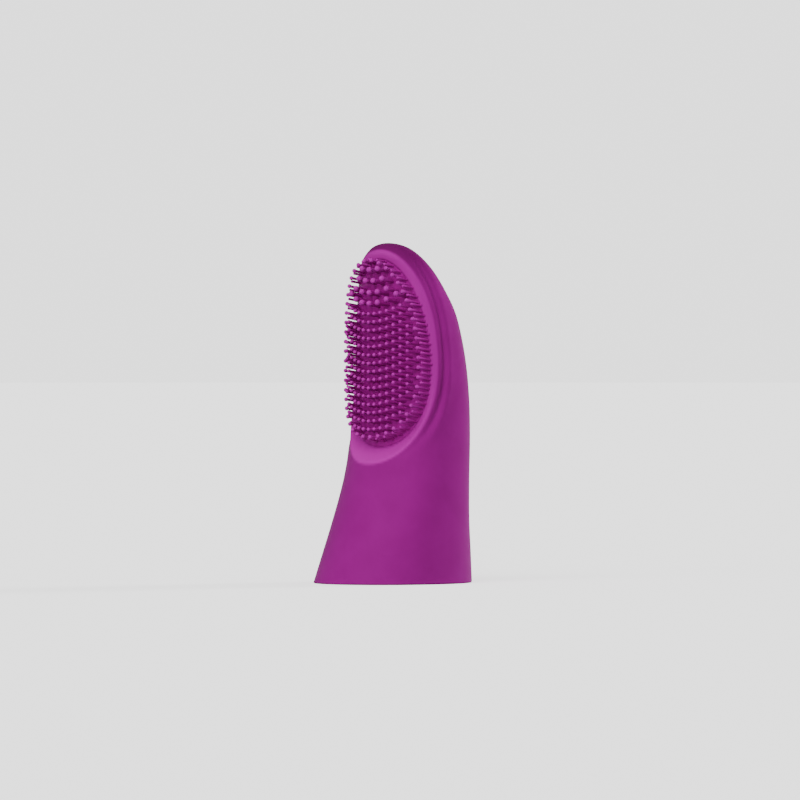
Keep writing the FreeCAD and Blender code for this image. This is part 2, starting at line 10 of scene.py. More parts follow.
import bmesh
import bpy
import numpy as np
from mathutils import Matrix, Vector


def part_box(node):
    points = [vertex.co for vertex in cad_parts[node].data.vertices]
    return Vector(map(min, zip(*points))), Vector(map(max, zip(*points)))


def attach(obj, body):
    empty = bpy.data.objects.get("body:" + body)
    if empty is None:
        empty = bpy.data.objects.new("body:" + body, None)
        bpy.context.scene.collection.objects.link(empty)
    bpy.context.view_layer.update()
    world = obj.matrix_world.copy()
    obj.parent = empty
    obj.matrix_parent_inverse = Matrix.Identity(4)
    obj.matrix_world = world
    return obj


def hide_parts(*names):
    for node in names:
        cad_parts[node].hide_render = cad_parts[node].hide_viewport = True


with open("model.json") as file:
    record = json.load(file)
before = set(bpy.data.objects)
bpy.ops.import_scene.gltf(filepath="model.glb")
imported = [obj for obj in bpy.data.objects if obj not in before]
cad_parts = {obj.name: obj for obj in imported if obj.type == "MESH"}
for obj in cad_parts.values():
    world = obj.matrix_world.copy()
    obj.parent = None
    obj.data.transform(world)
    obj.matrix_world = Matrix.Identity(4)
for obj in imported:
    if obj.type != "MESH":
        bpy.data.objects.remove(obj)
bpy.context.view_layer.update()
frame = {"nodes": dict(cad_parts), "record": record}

MM = 0.001
CAPSULE_SHIFT = 0.6  # how far the finger's axis lies behind the capsule's, in millimetres
RIM_HIGHLIGHT = "rim"  # mesh attribute: strength of the painted highlight on the rim's inner face
LOG = logging.getLogger("finger_toothbrush")

Colour = tuple[float, float, float]
Pair = tuple[float, float]
Table = Optional[dict]


# ---------------------------------------------------------------- shader maths
class Wire:
    """A node output that can be used in arithmetic; each operation adds one Math node."""

    def __init__(self, net: "Net", socket: bpy.types.NodeSocket) -> None:
        """Wraps one output socket of a net."""
        self.net = net
        self.socket = socket

    def _math(self, operation: str, first: Any, second: Any = 0.0) -> "Wire":
        """Adds a Math node.

        Args:
            operation: name of the Math node's operation.
            first: wire or number for the first input.
            second: wire or number for the second input.

        Returns:
            The result as a wire.
        """
        return self.net.wire("ShaderNodeMath", 0, {"operation": operation}, {0: first, 1: second})

    def __add__(self, other: Any) -> "Wire":
        """Sum."""
        return self._math("ADD", self, other)

    def __sub__(self, other: Any) -> "Wire":
        """Difference."""
        return self._math("SUBTRACT", self, other)

    def __rsub__(self, other: Any) -> "Wire":
        """Difference from a number."""
        return self._math("SUBTRACT", other, self)

    def __mul__(self, other: Any) -> "Wire":
        """Product."""
        return self._math("MULTIPLY", self, other)

    def root(self) -> "Wire":
        """Square root."""
        return self._math("SQRT", self)

    def step(self, low: float, high: float) -> "Wire":
        """Smooth rise from 0 at low to 1 at high.

        Args:
            low: value where the rise begins.
            high: value where it ends.

        Returns:
            The rise as a wire.
        """
        inputs = {"Value": self, "From Min": low, "From Max": high}
        return self.net.wire("ShaderNodeMapRange", "Result", {"interpolation_type": "SMOOTHSTEP"}, inputs)


class Net:
    """Node tree of one material or world, with one generic method for its nodes."""

    def __init__(self, owner: bpy.types.ID) -> None:
        """Keeps the tree and the shader that feeds the output of a material or a world."""
        owner.use_nodes = True
        self.owner = owner
        self.tree = owner.node_tree
        self.shader = self.tree.nodes.get("Principled BSDF") or self.tree.nodes["Background"]

    def node(self, kind: str, settings: Table = None, inputs: Table = None) -> bpy.types.Node:
        """Adds one node.

        Args:
            kind: the node's type name.
            settings: properties, set first; "stops" holds a ramp's (position, colour) pairs.
            inputs: socket name or number to a wire or a constant.

        Returns:
            The new node.
        """
        node = self.tree.nodes.new(kind)
        for key, value in (settings or {}).items():
            if key == "stops":
                for element, (place, colour) in zip(node.color_ramp.elements, value):
                    element.position = place
                    element.color = (*colour, 1.0)
            else:
                setattr(node, key, value)
        for key, value in (inputs or {}).items():
            self.feed(node.inputs[key], value)
        return node

    def feed(self, socket: bpy.types.NodeSocket, value: Any) -> None:
        """Links a wire to a socket, or sets a constant on it."""
        if isinstance(value, Wire):
            self.tree.links.new(value.socket, socket)
        else:
            socket.default_value = value

    def wire(self, kind: str, output: Any, settings: Table = None, inputs: Table = None) -> Wire:
        """Adds a node and returns one of its outputs.

        Args:
            kind: the node's type name.
            output: name or number of the output.
            settings: properties of the node.
            inputs: values or links of its sockets.

        Returns:
            The output as a wire.
        """
        return Wire(self, self.node(kind, settings, inputs).outputs[output])

    def place(self) -> Wire:
        """Place on the object, in metres."""
        return self.wire("ShaderNodeTexCoord", "Object")

    def noise(self, size: float, detail: float = 2.0, stretch: Sequence[float] = (1.0, 1.0, 1.0)) -> Wire:
        """Noise of a given grain size.

        Args:
            size: grain size in metres.
            detail: number of octaves.
            stretch: factors of the grain's frequency along X, Y and Z.

        Returns:
            Noise from 0 to 1.
        """
        inputs = {0: self.place(), 1: stretch}
        scaled = self.wire("ShaderNodeVectorMath", 0, {"operation": "MULTIPLY"}, inputs)
        inputs = {"Vector": scaled, "Scale": 1.0 / size, "Detail": detail}
        return self.wire("ShaderNodeTexNoise", 0, None, inputs)

    def mix(self, factor: Any, first: Any, second: Any) -> Wire:
        """Mixes two colours.

        Args:
            factor: wire or number from 0 to 1.
            first: colour at 0.
            second: colour at 1.

        Returns:
            The mixed colour.
        """
        ends = [c if isinstance(c, Wire) else (*c, 1.0) for c in (first, second)]
        return self.wire("ShaderNodeMix", 2, {"data_type": "RGBA"}, {0: factor, 6: ends[0], 7: ends[1]})

    def bump(self, height: Wire, depth: float) -> None:
        """Feeds the shader's normal from a height of 0 to 1 that is depth metres deep."""
        inputs = {"Height": height, "Distance": depth, "Strength": 1.0}
        self.feed(self.shader.inputs["Normal"], self.wire("ShaderNodeBump", "Normal", None, inputs))


def srgb(red: int, green: int, blue: int) -> Colour:
    """Linear colour of 8-bit display values.

    Args:
        red: red, 0 to 255.
        green: green, 0 to 255.
        blue: blue, 0 to 255.

    Returns:
        The linear colour.
    """
    shares = (value / 255 for value in (red, green, blue))
    return tuple(((v + 0.055) / 1.055) ** 2.4 if v > 0.04 else v / 12.92 for v in shares)


# ---------------------------------------------------------------- finishes
class Grain(Enum):
    """How the surface of a finish is broken up."""

    MOULDED = "moulded"
    BRUSHED = "brushed"
    WOUND = "wound"
    CELLULAR = "cellular"


@dataclass(frozen=True)
class Finish:
    """One finish: two tones, a grain and the constants of its shader; sizes in millimetres."""

    name: str
    colour: Colour
    tone: Colour
    grain: Grain = Grain.MOULDED
    grain_size: float = 0.25
    grain_depth: float = 0.004
    roughness: float = 0.5
    roughness_swing: float = 0.08
    roughness_size: float = 2.5
    drift_size: float = 6.0
    metallic: float = 0.0
    coat: float = 0.0
    sheen: float = 0.0
    sheen_roughness: float = 0.45
    specular: float = 0.5
    transmission: float = 0.0
    bleed: float = 0.0
    bleed_size: float = 0.5
    bleed_reach: Colour = (1.0, 0.5, 0.9)

    def grain_height(self, net: Net) -> Wire:
        """Height of the grain, from 0 to 1.

        Args:
            net: the material's net.

        Returns:
            The height as a wire.
        """
        size = self.grain_size * MM
        if self.grain is Grain.BRUSHED:
            return net.noise(size, 3.0, (1.0, 1.0, 0.06))
        if self.grain is Grain.WOUND:
            inputs = {0: net.place(), 3: 1 / size}
            scaled = net.wire("ShaderNodeVectorMath", 0, {"operation": "SCALE"}, inputs)
            inputs = {"Vector": scaled, "Scale": 1.0}
            return net.wire("ShaderNodeTexWave", 1, {"bands_direction": "Z"}, inputs)
        if self.grain is Grain.CELLULAR:
            return net.wire("ShaderNodeTexVoronoi", 0, None, {"Vector": net.place(), "Scale": 1 / size})
        return net.noise(size, 3.0)

    def tint(self, net: Net) -> Wire:
        """Colour over the surface, a slow drift between the two tones."""
        return net.mix(net.noise(self.drift_size * MM).step(0.2, 0.8), self.colour, self.tone)

    def build(self) -> bpy.types.Material:
        """Makes the material."""
        net = Net(bpy.data.materials.new(self.name))
        height = self.grain_height(net)
        net.feed(net.shader.inputs["Base Color"], self.tint(net))
        patches = net.noise(self.roughness_size * MM)
        least = self.roughness - self.roughness_swing / 2
        net.feed(net.shader.inputs["Roughness"], patches * self.roughness_swing + least)
        constants = {
            "Metallic": self.metallic,
            "Coat Weight": self.coat,
            "Sheen Weight": self.sheen,
            "Sheen Roughness": self.sheen_roughness,
            "Specular IOR Level": self.specular,
            "Transmission Weight": self.transmission,
            "Subsurface Weight": self.bleed,
            "Subsurface Scale": self.bleed_size * MM,
            "Subsurface Radius": self.bleed_reach,
        }
        for key, value in constants.items():
            net.feed(net.shader.inputs[key], value)
        net.bump(height, self.grain_depth * MM)
        return net.owner


@dataclass(frozen=True)
class SkinSilicone(Finish):
    """Matte silicone of the sleeve, with painted shade towards the tip and a painted highlight on the rim's
    inner face.
    """

    # colour of the painted highlight on the rim's inner face
    rim_highlight_colour: Colour = srgb(188, 34, 168)
    # colour of the painted shade over the top of the sleeve, darkest at the tip
    tip_shade_colour: Colour = srgb(104, 0, 88)
    tip_z: float = 57.6
    shade_from: float = 0.86
    shade_share: float = 0.9

    def tint(self, net: Net) -> Wire:
        """Drift between the two tones, with painted shade near the tip and a painted highlight on the rim's
        inner face.
        """
        base = super().tint(net)
        height = net.wire("ShaderNodeSeparateXYZ", "Z", None, {0: net.place()})
        # painted shade: the colour darkens over the top of the sleeve towards its tip
        rise = height.step(self.shade_from * self.tip_z * MM, self.tip_z * MM)
        deep = net.mix(rise * self.shade_share, base, self.tip_shade_colour)
        # painted highlight: the rim's inner face takes a lighter colour
        rim = net.wire("ShaderNodeAttribute", "Fac", {"attribute_name": RIM_HIGHLIGHT})
        return net.mix(rim, deep, self.rim_highlight_colour)


@dataclass(frozen=True)
class BristleSilicone(Finish):
    """Silicone of the pad, a little translucent: painted shade at the floor, rising to a painted highlight
    at the thin tips.

    The floor is a cylinder of floor_radius about an upright axis at floor_y. Inside an oval about inner_z,
    of half width inner_half and half height inner_tall, the stems keep the floor's painted shade.
    """

    # colour of the painted shade on the pad's floor and the lower stems
    floor_shade_colour: Colour = srgb(166, 0, 145)
    floor_radius: float = 12.07
    floor_y: float = 8.7
    reach: float = 3.06
    inner_z: float = 38.5
    inner_half: float = 8.6
    inner_tall: float = 14.0
    patch_size: float = 1.5
    patch_share: float = 0.4
    lit_stem_share: float = 0.7

    def tint(self, net: Net) -> Wire:
        """Blend by the distance in front of the pad's face: painted shade low down, a painted highlight at
        the tips, and painted light on the stems of the outermost ring.
        """
        parts = net.node("ShaderNodeSeparateXYZ", None, {0: net.place()})
        x = Wire(net, parts.outputs["X"])
        y = Wire(net, parts.outputs["Y"]) - self.floor_y * MM
        z = Wire(net, parts.outputs["Z"]) - self.inner_z * MM
        rise = ((x * x + y * y).root() - self.floor_radius * MM) * (1 / (self.reach * MM))
        patches = net.noise(self.patch_size * MM).step(0.3, 0.7)
        # painted shade: the floor and the lower stems take a dark colour where the recess lies in shade
        low = net.mix(patches * self.patch_share, self.floor_shade_colour, self.tone)
        outer = x * x * (1 / (self.inner_half * MM) ** 2) + z * z * (1 / (self.inner_tall * MM) ** 2)
        # painted light on the stems of the outermost ring
        stems = net.mix(outer.step(0.75, 1.0) * rise.step(0.15, 0.7) * self.lit_stem_share, low, self.colour)
        # painted highlight: the tips take the light colour
        return net.mix(rise.step(0.6, 0.97), stems, self.colour)


def finishes(height: float, oval: "BristleOval") -> dict[str, Finish]:
    """Every finish by the name of its material slot.

    Args:
        height: height of the sleeve.
        oval: the oval of the bristles.

    Returns:
        Slot name to finish.
    """
    metal = {"metallic": 1.0, "grain": Grain.BRUSHED, "grain_size": 0.06, "grain_depth": 0.002}
    rows = [
        SkinSilicone("purple_silicone", srgb(148, 4, 130), srgb(141, 2, 123), grain_size=0.16,
                     grain_depth=0.003, roughness=0.56, specular=0.1, tip_z=height),
        # the pad's light colour is the painted highlight of the bristles' tips
        BristleSilicone("bristle_silicone", srgb(190, 40, 174), srgb(162, 0, 141), grain_size=0.12,
                        grain_depth=0.002, roughness=0.45, specular=0.08, bleed=0.3,
                        floor_radius=oval.envelope, floor_y=oval.axis_y + oval.length, reach=oval.length),
        Finish("button_silicone", srgb(196, 120, 192), srgb(186, 108, 182), grain_size=0.14,
               roughness=0.5, specular=0.3),
        Finish("capsule_plastic", srgb(232, 230, 226), srgb(222, 219, 214), grain_size=0.12, roughness=0.42),
        Finish("frame_plastic", srgb(208, 206, 196), srgb(196, 193, 182), grain_size=0.15, roughness=0.48),
        Finish("black_plastic", srgb(28, 28, 30), srgb(38, 38, 41), grain_size=0.1, roughness=0.45),
        Finish("button_plastic", srgb(226, 218, 200), srgb(214, 205, 188), grain_size=0.1, roughness=0.4),
        Finish("seal_rubber", srgb(30, 30, 33), srgb(42, 42, 45), grain_size=0.08, roughness=0.62,
               sheen=0.1),
        Finish("foam", srgb(70, 70, 76), srgb(52, 52, 58), grain=Grain.CELLULAR, grain_size=0.3,
               grain_depth=0.05, roughness=0.9),
        Finish("gold", srgb(230, 188, 104), srgb(214, 168, 84), roughness=0.24, **metal),
        Finish("magnet_nickel", srgb(206, 205, 204), srgb(190, 188, 186), roughness=0.2, **metal),
        Finish("nickel_strip", srgb(200, 196, 188), srgb(182, 178, 170), roughness=0.34, **metal),
        Finish("cell_steel", srgb(196, 198, 202), srgb(178, 180, 186), roughness=0.3, **metal),
        Finish("board_green", srgb(22, 96, 58), srgb(16, 82, 48), grain_size=0.3, roughness=0.34, coat=0.4),
        Finish("ceramic", srgb(186, 158, 122), srgb(170, 142, 106), grain_size=0.06, roughness=0.4),
        Finish("led_lens", srgb(246, 242, 220), srgb(236, 230, 204), grain_size=0.2, roughness=0.2,
               coat=0.3),
        Finish("clear_guide", srgb(238, 242, 246), srgb(228, 234, 240), grain_size=0.3, grain_depth=0.001,
               roughness=0.12, transmission=0.85),
        Finish("lead_red", srgb(176, 24, 22), srgb(158, 18, 18), grain_size=0.1, roughness=0.38),
        Finish("motor_steel", srgb(202, 202, 204), srgb(184, 184, 188), roughness=0.28, **metal),
        Finish("copper", srgb(214, 136, 94), srgb(196, 116, 76), roughness=0.26, **metal),
        Finish("copper_winding", srgb(176, 92, 52), srgb(150, 72, 38), metallic=0.8, grain=Grain.WOUND,
               grain_size=0.05, grain_depth=0.02, roughness=0.32, coat=0.5),
        Finish("brass_bush", srgb(206, 172, 98), srgb(188, 152, 82), roughness=0.4, **metal),
        Finish("shaft_steel", srgb(212, 212, 216), srgb(198, 198, 202), roughness=0.16, **metal),
        Finish("tungsten", srgb(128, 128, 130), srgb(108, 108, 112), metallic=0.9, grain_size=0.1,
               grain_depth=0.01, roughness=0.45),
    ]
    return {row.name: row for row in rows}


# ---------------------------------------------------------------- mesh helpers
def mesh_piece(name: str, points: np.ndarray, faces: Sequence[Sequence[int]]) -> bpy.types.Object:
    """Makes a smooth-shaded object from points in millimetres.

    Args:
        name: name of the piece.
        points: points in millimetres.
        faces: faces as lists of point numbers.

    Returns:
        The object, linked to the scene.
    """
    mesh = bpy.data.meshes.new(name)
    mesh.from_pydata((np.asarray(points) * MM).tolist(), [], faces)
    shell = bmesh.new()
    shell.from_mesh(mesh)
    bmesh.ops.recalc_face_normals(shell, faces=shell.faces)
    shell.to_mesh(mesh)
    shell.free()
    mesh.polygons.foreach_set("use_smooth", [True] * len(mesh.polygons))
    piece = bpy.data.objects.new(name, mesh)
    bpy.context.scene.collection.objects.link(piece)
    return piece


def grid_faces(rows: int, columns: int, start: int = 0) -> list[list[int]]:
    """Quads of a grid whose columns close into a ring.

    Args:
        rows: number of rings.
        columns: number of points in a ring.
        start: number of the first point.

    Returns:
        The faces.
    """
    faces = []
    for i in range(rows - 1):
        for j in range(columns):
            a = start + i * columns + j
            b = start + i * columns + (j + 1) % columns
            faces.append([a, a + columns, b + columns, b])
    return faces


def fan(centre: int, first: int, columns: int) -> list[list[int]]:
    """Triangles from one point to a ring.

    Args:
        centre: number of the point.
        first: number of the ring's first point.
        columns: number of points in the ring.

    Returns:
        The faces.
    """
    return [[centre, first + j, first + (j + 1) % columns] for j in range(columns)]


def circle(count: int) -> list[Pair]:
    """Cosine and sine of evenly spaced angles round a circle.

    Args:
        count: number of angles.

    Returns:
        One pair for each angle.
    """
    angles = [2 * math.pi * k / count for k in range(count)]
    return [(math.cos(angle), math.sin(angle)) for angle in angles]


def quarter(steps: int, first: int = 0) -> list[Pair]:
    """Cosine and sine of the angles from 0 to a right angle.

    Args:
        steps: number of even steps.
        first: number of the step to start from.

    Returns:
        One pair for each angle.
    """
    angles = [math.pi / 2 * i / steps for i in range(first, steps + 1)]
    return [(math.cos(angle), math.sin(angle)) for angle in angles]


def smooth_lookup(knots: np.ndarray, values: np.ndarray, at: np.ndarray) -> np.ndarray:
    """Smooth curve through values at rising knots.

    Args:
        knots: rising places.
        values: values there.
        at: places to look up.

    Returns:
        The values of the curve.
    """
    slopes = np.gradient(values, knots)
    i = np.clip(np.searchsorted(knots, at) - 1, 0, len(knots) - 2)
    span = knots[i + 1] - knots[i]
    t = np.clip((at - knots[i]) / span, 0, 1)
    rise = (3 - 2 * t) * t * t
    start = t * (1 - t) ** 2 * span * slopes[i]
    end = t * t * (1 - t) * span * slopes[i + 1]
    return values[i] * (1 - rise) + values[i + 1] * rise + start - end


def smoothstep(value: np.ndarray) -> np.ndarray:
    """Smooth rise from 0 to 1 between 0 and 1."""
    t = np.clip(value, 0, 1)
    return t * t * (3 - 2 * t)


# ---------------------------------------------------------------- the bristle field
@dataclass
class BristleOval:
    """The oval that bounds the bristles, as arc length across and height."""

    axis_y: float
    centre_z: float = 36.6
    half_arc: float = 9.15
    upper: float = 18.1
    lower: float = 11.8
    upper_power: float = 2.0
    lower_power: float = 2.2
    envelope: float = 12.07
    length: float = 3.06
    widest: float = 0.95
    steps: int = 720

    def point(self, turn: float, side: float, top: float, bottom: float) -> Pair:
        """Point of the oval.

        Args:
            turn: way round, from 0 to 1.
            side: growth of the half width.
            top: growth of the upper half.
            bottom: growth of the lower half.

        Returns:
            Arc length from the middle line, and height.
        """
        c = math.cos(2 * math.pi * turn)
        s = math.sin(2 * math.pi * turn)
        tall = self.upper + top if s > 0 else self.lower + bottom
        share = 2 / (self.upper_power if s > 0 else self.lower_power)
        arc = (self.half_arc + side) * math.copysign(abs(c) ** share, c)
        return arc, self.centre_z + tall * math.copysign(abs(s) ** share, s)

    def distance(self, arc: np.ndarray, z: np.ndarray, side: float, top: float, bottom: float) -> tuple:
        """Distance outside the grown oval, and the upward part of its direction.

        Args:
            arc: arc lengths from the middle line.
            z: heights.
            side: growth of the half width.
            top: growth of the upper half.
            bottom: growth of the lower half.

        Returns:
            Distance, negative inside, and the direction's Z part.
        """
        wide = self.half_arc + side
        above = z > self.centre_z
        tall = np.where(above, self.upper + top, self.lower + bottom)
        power = np.where(above, self.upper_power, self.lower_power)
        u = np.maximum(np.abs(arc) / wide, 1e-6)
        v = np.maximum(np.abs(z - self.centre_z) / tall, 1e-6)
        size = (u ** power + v ** power) ** (1 / power)
        across = (u / size) ** (power - 1) / wide
        upward = (v / size) ** (power - 1) / tall * np.sign(z - self.centre_z)
        steep = np.hypot(across, upward)
        return (size - 1) / steep, upward / steep

    def floor_y(self, x: np.ndarray, inset: float = 0.0) -> np.ndarray:
        """Y of the pad's face at x, moved in by inset."""
        radius = self.envelope - inset
        across = np.minimum(np.abs(x), self.widest * radius)
        return self.axis_y + self.length - np.sqrt(radius ** 2 - across ** 2)

    def tip(self, arc: float, z: float) -> Vector:
        """Where a full bristle ends, in millimetres."""
        angle = arc / self.envelope
        return Vector((self.envelope * math.sin(angle), self.axis_y - self.envelope * math.cos(angle), z))

    def around(self, count: int, phase: float, growth: float) -> list[Pair]:
        """Evenly spaced places round the oval.

        Args:
            count: number of places.
            phase: offset, in steps.
            growth: how far outside the oval they lie.

        Returns:
            Arc and height of each.
        """
        turns = [i / self.steps for i in range(self.steps + 1)]
        fine = np.array([self.point(turn, growth, growth, growth) for turn in turns])
        run = np.concatenate([[0], np.cumsum(np.hypot(*np.diff(fine, axis=0).T))])
        want = run[-1] * (np.arange(count) + phase) / count
        return list(zip(np.interp(want, run, fine[:, 0]), np.interp(want, run, fine[:, 1])))


@dataclass
class BristleShape:
    """One kind of bristle: stem, ball at the tip and flare at the root, in millimetres."""

    stem: float
    ball: float
    length: float
    flare: float = 0.12
    root: float = 0.25
    flare_height: float = 0.35
    waist: float = 0.97
    ball_low: float = -38.0
    ball_step: float = 23.0

    def profile(self) -> list[Pair]:
        """Radius and height along the bristle, from the root to just under the tip."""
        points = []
        for t in (0.0, 0.25, 0.5, 0.75, 1.0):
            height = t * (self.root + self.flare_height) - self.root
            points.append((self.stem + self.flare * (1 - t) ** 2.2, height))
        neck = self.length - 2.1 * self.ball
        points.append((self.stem * self.waist, (self.flare_height + neck) / 2))
        points.append((self.stem, neck))
        centre = self.length - self.ball
        for i in range(6):
            angle = math.radians(self.ball_low + i * self.ball_step)
            points.append((self.ball * math.cos(angle), centre + self.ball * math.sin(angle)))
        return points


@dataclass
class BristlePad:
    """Oval pad with its moulded bristles."""

    oval: BristleOval
    lean: float = 7.6
    thickness: float = 1.2
    edge_side: float = 0.32
    edge_top: float = 0.1
    edge_bottom: float = 1.7
    ring_count: int = 47
    fine_rows: int = 15
    fine_top: float = 45.6
    fine_bottom: float = 26.1
    fine_spacing: float = 1.22
    fine_rise: float = 0.040
    fine_count: int = 17
    clearance: float = 0.95
    thick_rows: tuple = ((53.1, 3), (51.2, 4), (49.2, 5), (47.4, 7))
    thick_spacing: float = 1.75
    thick_rise: float = 0.060
    foot_growth: float = 0.25
    sway: float = 0.5
    seed: int = 11
    around: int = 14
    floor_columns: int = 160
    floor_rings: int = 22
    fine: BristleShape = field(default_factory=lambda: BristleShape(0.22, 0.31, 3.06))
    thick: BristleShape = field(default_factory=lambda: BristleShape(0.38, 0.50, 3.06, 0.16))
    ring: BristleShape = field(default_factory=lambda: BristleShape(0.24, 0.35, 3.06))
    foot: BristleShape = field(default_factory=lambda: BristleShape(0.22, 0.25, 2.4))

    def floor(self) -> tuple[np.ndarray, list]:
        """Points and faces of the closed curved plate under the bristles."""
        oval = self.oval
        columns = self.floor_columns
        axis_y = oval.axis_y + oval.length
        growth = (self.edge_side, self.edge_top, self.edge_bottom)
        edge = [oval.point(j / columns, *growth) for j in range(columns)]
        scales = [1.0 - (i / self.floor_rings) ** 1.4 for i in range(self.floor_rings)]
        points = []
        for radius, run in ((oval.envelope, scales[::-1]), (oval.envelope - self.thickness, scales)):
            for scale in run:
                for arc, z in edge:
                    angle = arc * scale / oval.envelope
                    height = oval.centre_z + (z - oval.centre_z) * scale
                    points.append((radius * math.sin(angle), axis_y - radius * math.cos(angle), height))
        count = len(points)
        front = (0.0, axis_y - oval.envelope, oval.centre_z)
        back = (0.0, front[1] + self.thickness, oval.centre_z)
        faces = grid_faces(2 * len(scales), columns)
        faces += fan(count, 0, columns) + fan(count + 1, count - columns, columns)
        return np.array(points + [front, back]), faces

    def places(self) -> list[tuple[BristleShape, float, float]]:
        """Shape, arc and height of every bristle."""
        found = [(self.ring, arc, z) for arc, z in self.oval.around(self.ring_count, 0.0, 0.0)]
        found += [(self.foot, arc, z) for arc, z in self.oval.around(self.ring_count, 0.5, self.foot_growth)]
        for z, count in self.thick_rows:
            for arc in (np.arange(count) - (count - 1) / 2) * self.thick_spacing:
                found.append((self.thick, arc, z + self.thick_rise * arc * arc))
        for row_z in np.linspace(self.fine_top, self.fine_bottom, self.fine_rows):
            for arc in (np.arange(self.fine_count) - self.fine_count // 2) * self.fine_spacing:
                z = row_z + self.fine_rise * arc * arc
                gap = -self.clearance
                inside, _ = self.oval.distance(np.array([arc]), np.array([z]), gap, gap, gap)
                if inside[0] < 0:
                    found.append((self.fine, arc, z))
        return found

    def grow(self, shape: BristleShape, arc: float, z: float, lean: float, twist: float) -> np.ndarray:
        """Points of one bristle.

        Args:
            shape: its kind.
            arc: arc length of its place.
            z: height of its tip.
            lean: degrees towards the tip of the brush.
            twist: degrees sideways.

        Returns:
            Its points, rings first and the tip last.
        """
        along = Vector((math.sin(math.radians(twist)), -1.0, math.tan(math.radians(lean)))).normalized()
        across = along.cross(Vector((0, 0, 1))).normalized()
        up = across.cross(along)
        root = self.oval.tip(arc, z) - along * self.oval.length
        points = []
        for radius, height in shape.profile():
            for c, s in circle(self.around):
                points.append(root + along * height + across * (radius * c) + up * (radius * s))
        points.append(root + along * shape.length)
        return np.array([tuple(p) for p in points])

    def build(self) -> bpy.types.Object:
        """Makes the pad and its bristles as one piece."""
        draw = random.Random(self.seed)
        points, faces = self.floor()
        blocks = [points]
        start = len(points)
        for shape, arc, z in self.places():
            lean = self.lean + draw.uniform(-self.sway, self.sway)
            grown = self.grow(shape, arc, z, lean, draw.uniform(-self.sway, self.sway))
            tip = start + len(grown) - 1
            faces += grid_faces(len(grown) // self.around, self.around, start)
            faces += fan(tip, tip - self.around, self.around)
            faces.append(list(range(start, start + self.around)))
            blocks.append(grown)
            start = tip + 1
        piece = mesh_piece("pad_with_bristles", np.vstack(blocks), faces)
        LOG.info("pad_with_bristles: %d bristles", len(blocks) - 1)
        return piece


